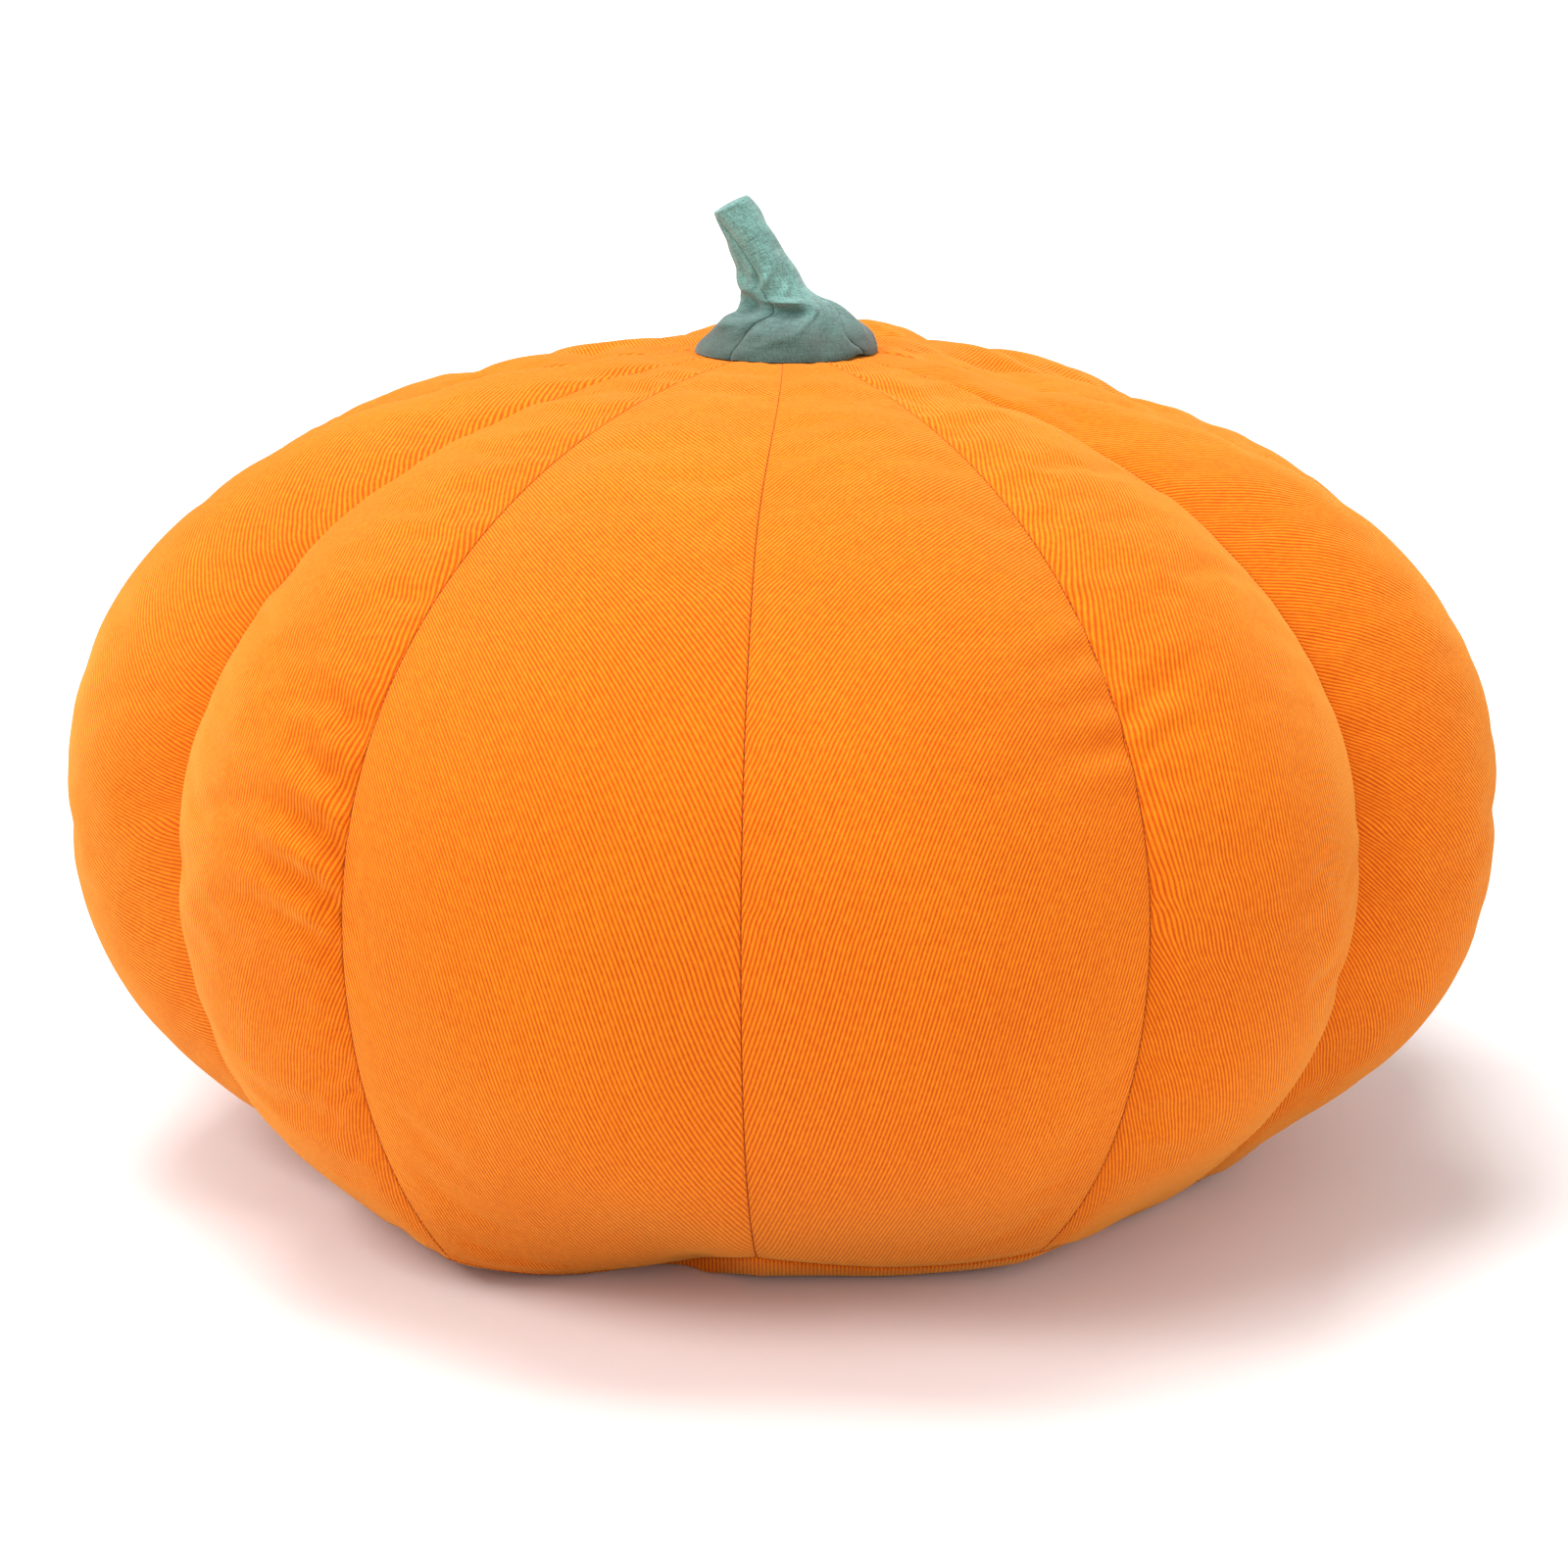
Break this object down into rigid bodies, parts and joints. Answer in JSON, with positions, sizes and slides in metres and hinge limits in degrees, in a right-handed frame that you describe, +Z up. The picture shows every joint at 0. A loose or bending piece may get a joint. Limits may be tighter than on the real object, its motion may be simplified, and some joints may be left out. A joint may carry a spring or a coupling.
{
  "type": "floor pouf",
  "caption": "Pumpkin-shaped floor pouf: puffed twill panels seamed from the top to a flat round base, with a leaning stuffed cloth stalk.",
  "frame": {"origin": "middle of the flat underside, where the pouf rests on the floor", "axes": "+Z up through the stalk, -Y towards the front seam's side, +X to the right seen from the front"},
  "size_m": [0.5845, 0.5824, 0.4003],
  "materials": {
    "orange_twill": "diagonal cotton twill, matt",
    "stalk_cloth": "fine plain cotton, matt"
  },
  "bodies": {
    "root": {"panel_01": "orange_twill", "panel_02": "orange_twill", "panel_03": "orange_twill", "panel_04": "orange_twill", "panel_05": "orange_twill", "panel_06": "orange_twill", "panel_07": "orange_twill", "panel_08": "orange_twill", "panel_09": "orange_twill", "panel_10": "orange_twill", "panel_11": "orange_twill", "panel_12": "orange_twill", "base_panel": "orange_twill", "stalk_front": "stalk_cloth", "stalk_back": "stalk_cloth"}
  },
  "joints": []
}
